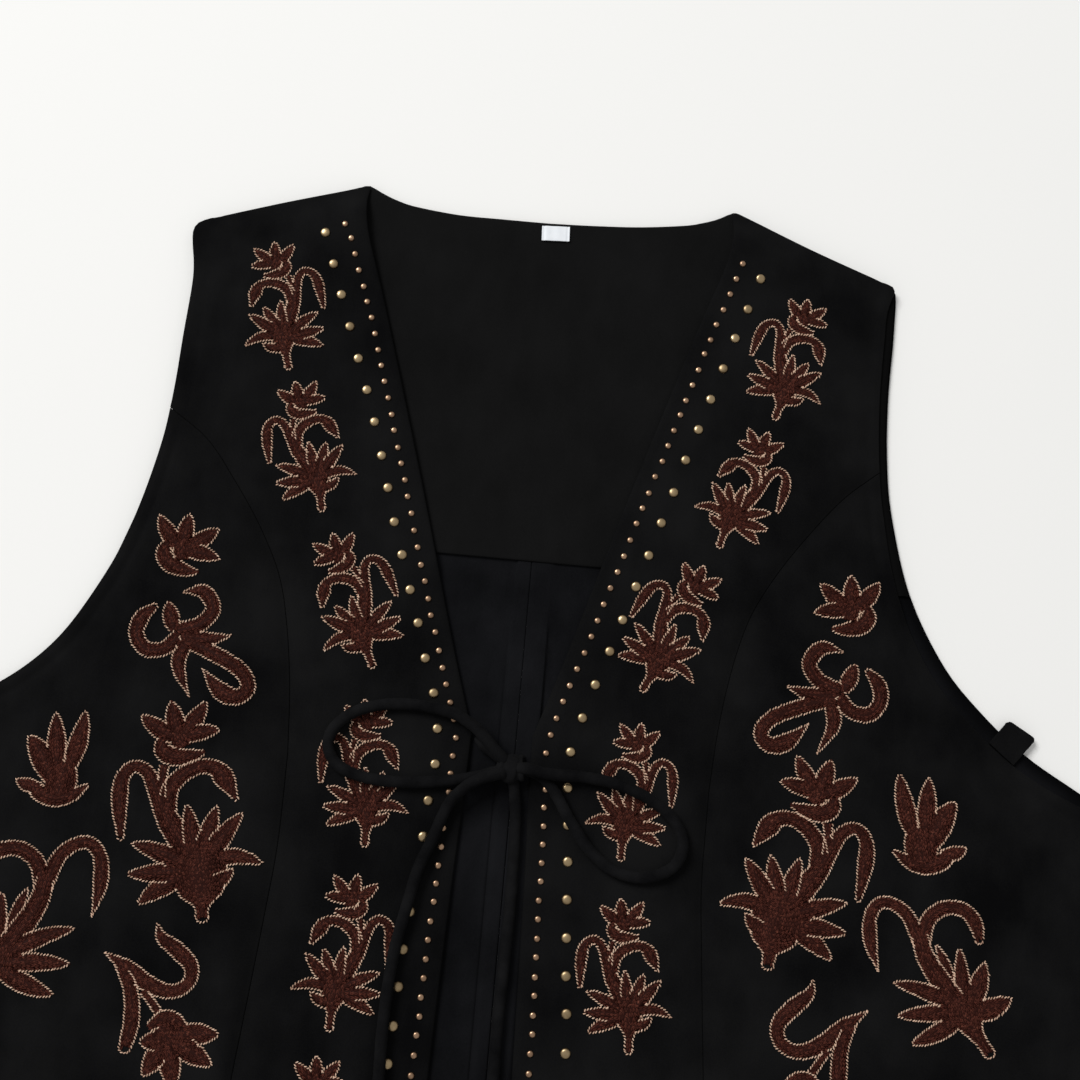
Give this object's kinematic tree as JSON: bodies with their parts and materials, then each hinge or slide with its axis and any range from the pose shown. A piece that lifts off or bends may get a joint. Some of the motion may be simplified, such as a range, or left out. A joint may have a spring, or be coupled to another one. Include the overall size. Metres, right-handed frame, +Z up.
{
  "type": "embroidered vest",
  "caption": "Sleeveless V-neck vest of black brushed cloth laid flat, with leaf embroidery, brass studs along the front edges and fronts tied by a thin cord bow",
  "frame": {"origin": "middle of the base that the vest lies on", "axes": "+X to the viewer's right across the vest, +Y from the hem to the neck, +Z up from the surface that it lies on"},
  "size_m": [0.54, 0.53, 0.013],
  "materials": {
    "black_cloth": "brushed matte nap",
    "inside_cloth": "plain matte wrong side",
    "facing_cloth": "brushed matte nap",
    "white_label": "woven satin tape",
    "tie_cord": "sewn cloth tube",
    "embroidery_thread": "chain stitch in matte thread",
    "outline_thread": "twisted outline stitch",
    "brass_stud": "antique, softly worn"
  },
  "bodies": {
    "root": {"back_left": "inside_cloth", "back_right": "inside_cloth", "back_neck_facing": "facing_cloth", "front_centre_left": "black_cloth", "front_centre_right": "black_cloth", "front_side_left": "black_cloth", "front_side_right": "black_cloth", "size_label": "white_label", "hanger_loop": "black_cloth", "bow_knot": "tie_cord", "bow_loop_left": "tie_cord", "bow_loop_right": "tie_cord", "tie_stub_left": "tie_cord", "tie_stub_right": "tie_cord", "tie_tail_left": "tie_cord", "tie_tail_right": "tie_cord"}
  },
  "joints": []
}
